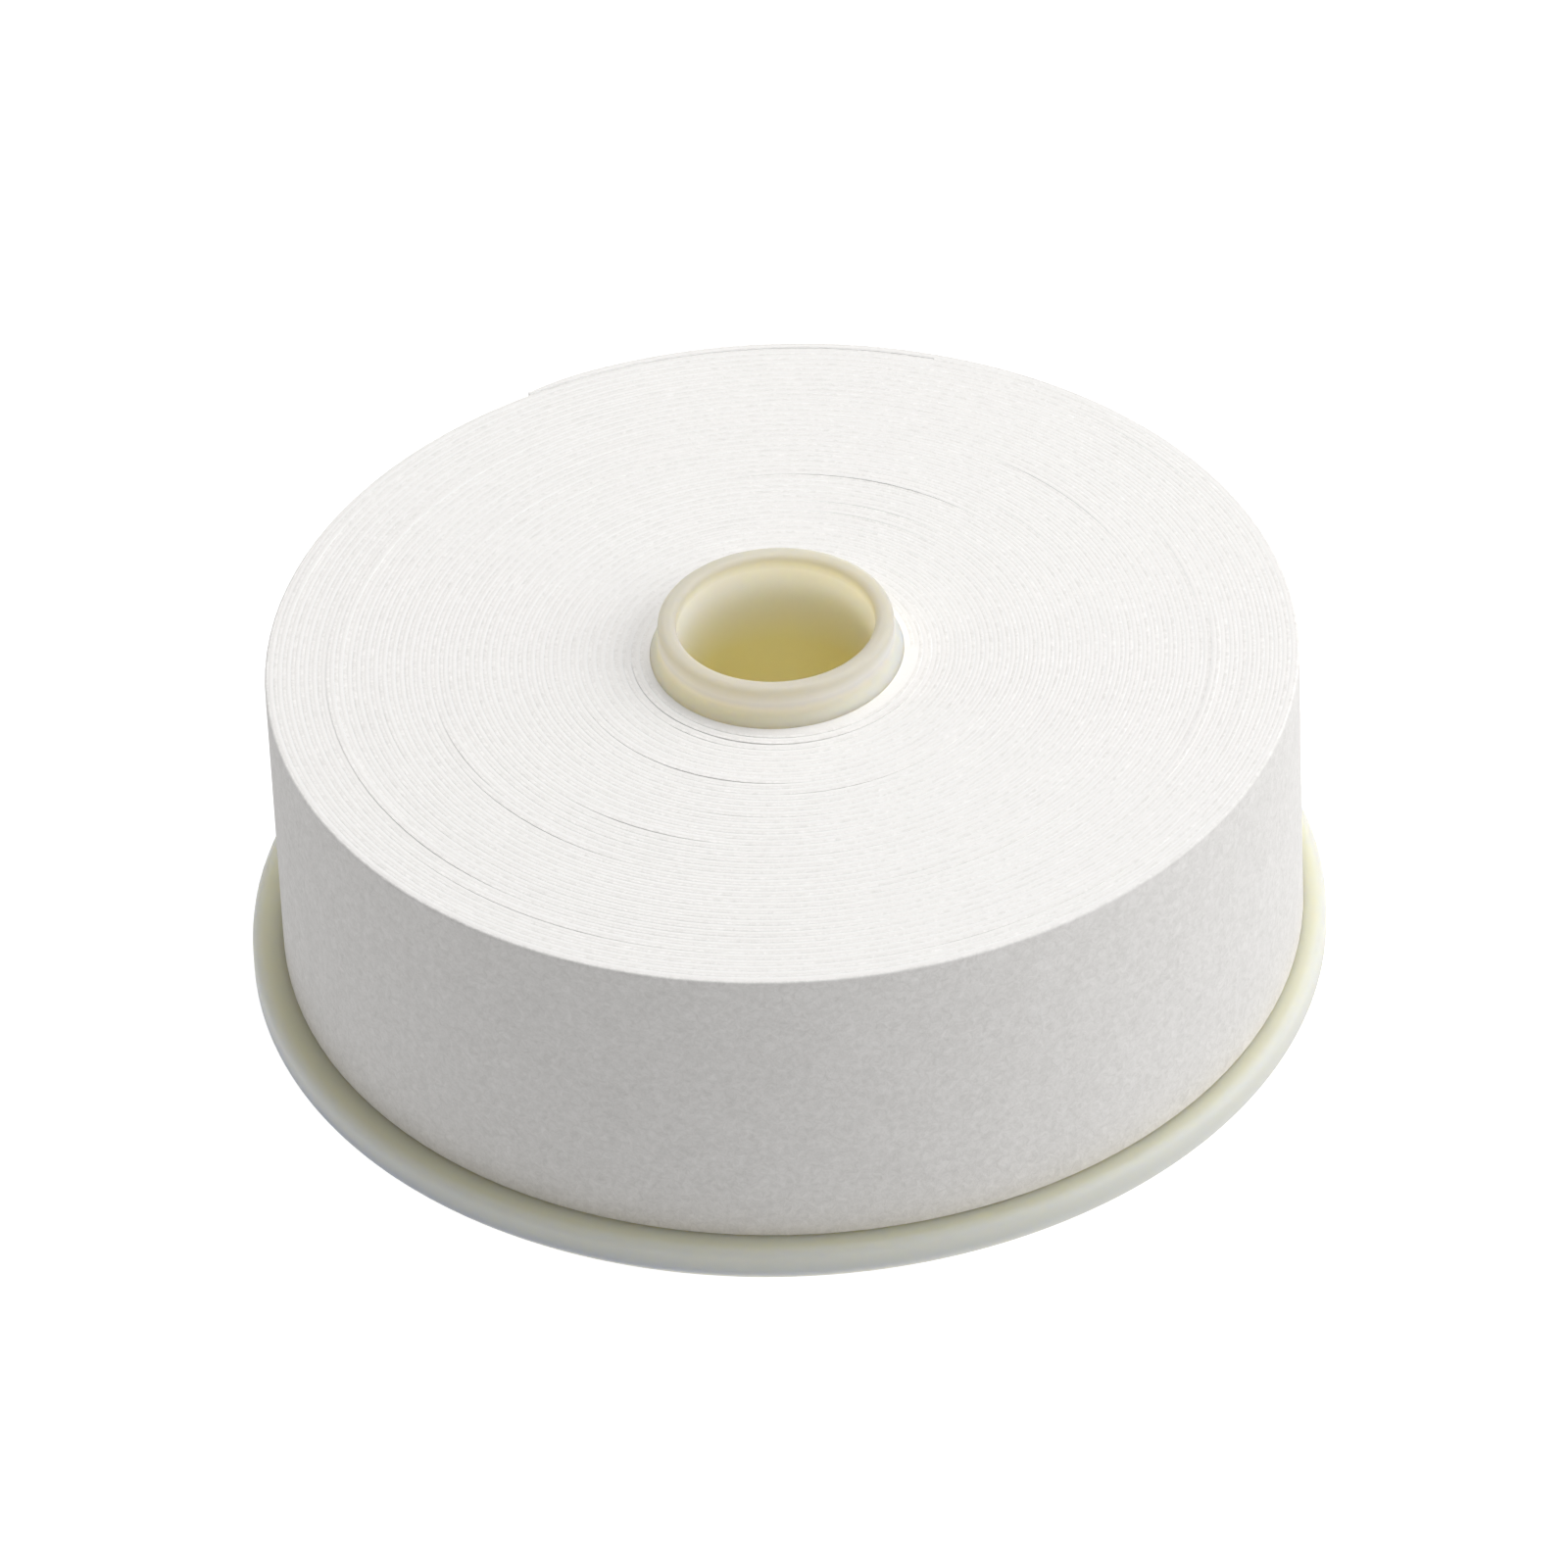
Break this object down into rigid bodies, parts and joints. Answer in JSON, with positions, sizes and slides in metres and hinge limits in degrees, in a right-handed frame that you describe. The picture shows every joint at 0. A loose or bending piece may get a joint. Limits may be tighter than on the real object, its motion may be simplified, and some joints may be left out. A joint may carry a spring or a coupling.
{
  "type": "grip tape roll",
  "caption": "Roll of white racket grip tape wound on a flanged moulded reel, with a free end that peels open and a through bore for a spindle.",
  "frame": {"origin": "centre of the flange's flat underside, on the hub axis", "axes": "+Z along the hub axis from the flange towards the open end of the hub, +Y towards the side where the tape's free end lies"},
  "size_m": [0.0848, 0.0848, 0.0311],
  "materials": {
    "ivory_plastic": "satin",
    "grip_coat": "matte",
    "fleece": "matte",
    "clear_film": "gloss",
    "adhesive_strip": "matte",
    "tab_film": "satin"
  },
  "bodies": {
    "roll": {"reel": "ivory_plastic", "starter_strip": "adhesive_strip", "grip_coat": "grip_coat", "grip_backing": "fleece", "release_film": "clear_film"},
    "tail": {"tail_coat": "grip_coat", "tail_backing": "fleece", "closing_tab": "tab_film"}
  },
  "joints": [
    {"name": "tail_peel", "type": "hinge", "parent": "roll", "child": "tail", "pos_m": [0.01391, 0.03827, 0.015], "axis": [0, 0, -1], "range_deg": [0, 75]}
  ]
}
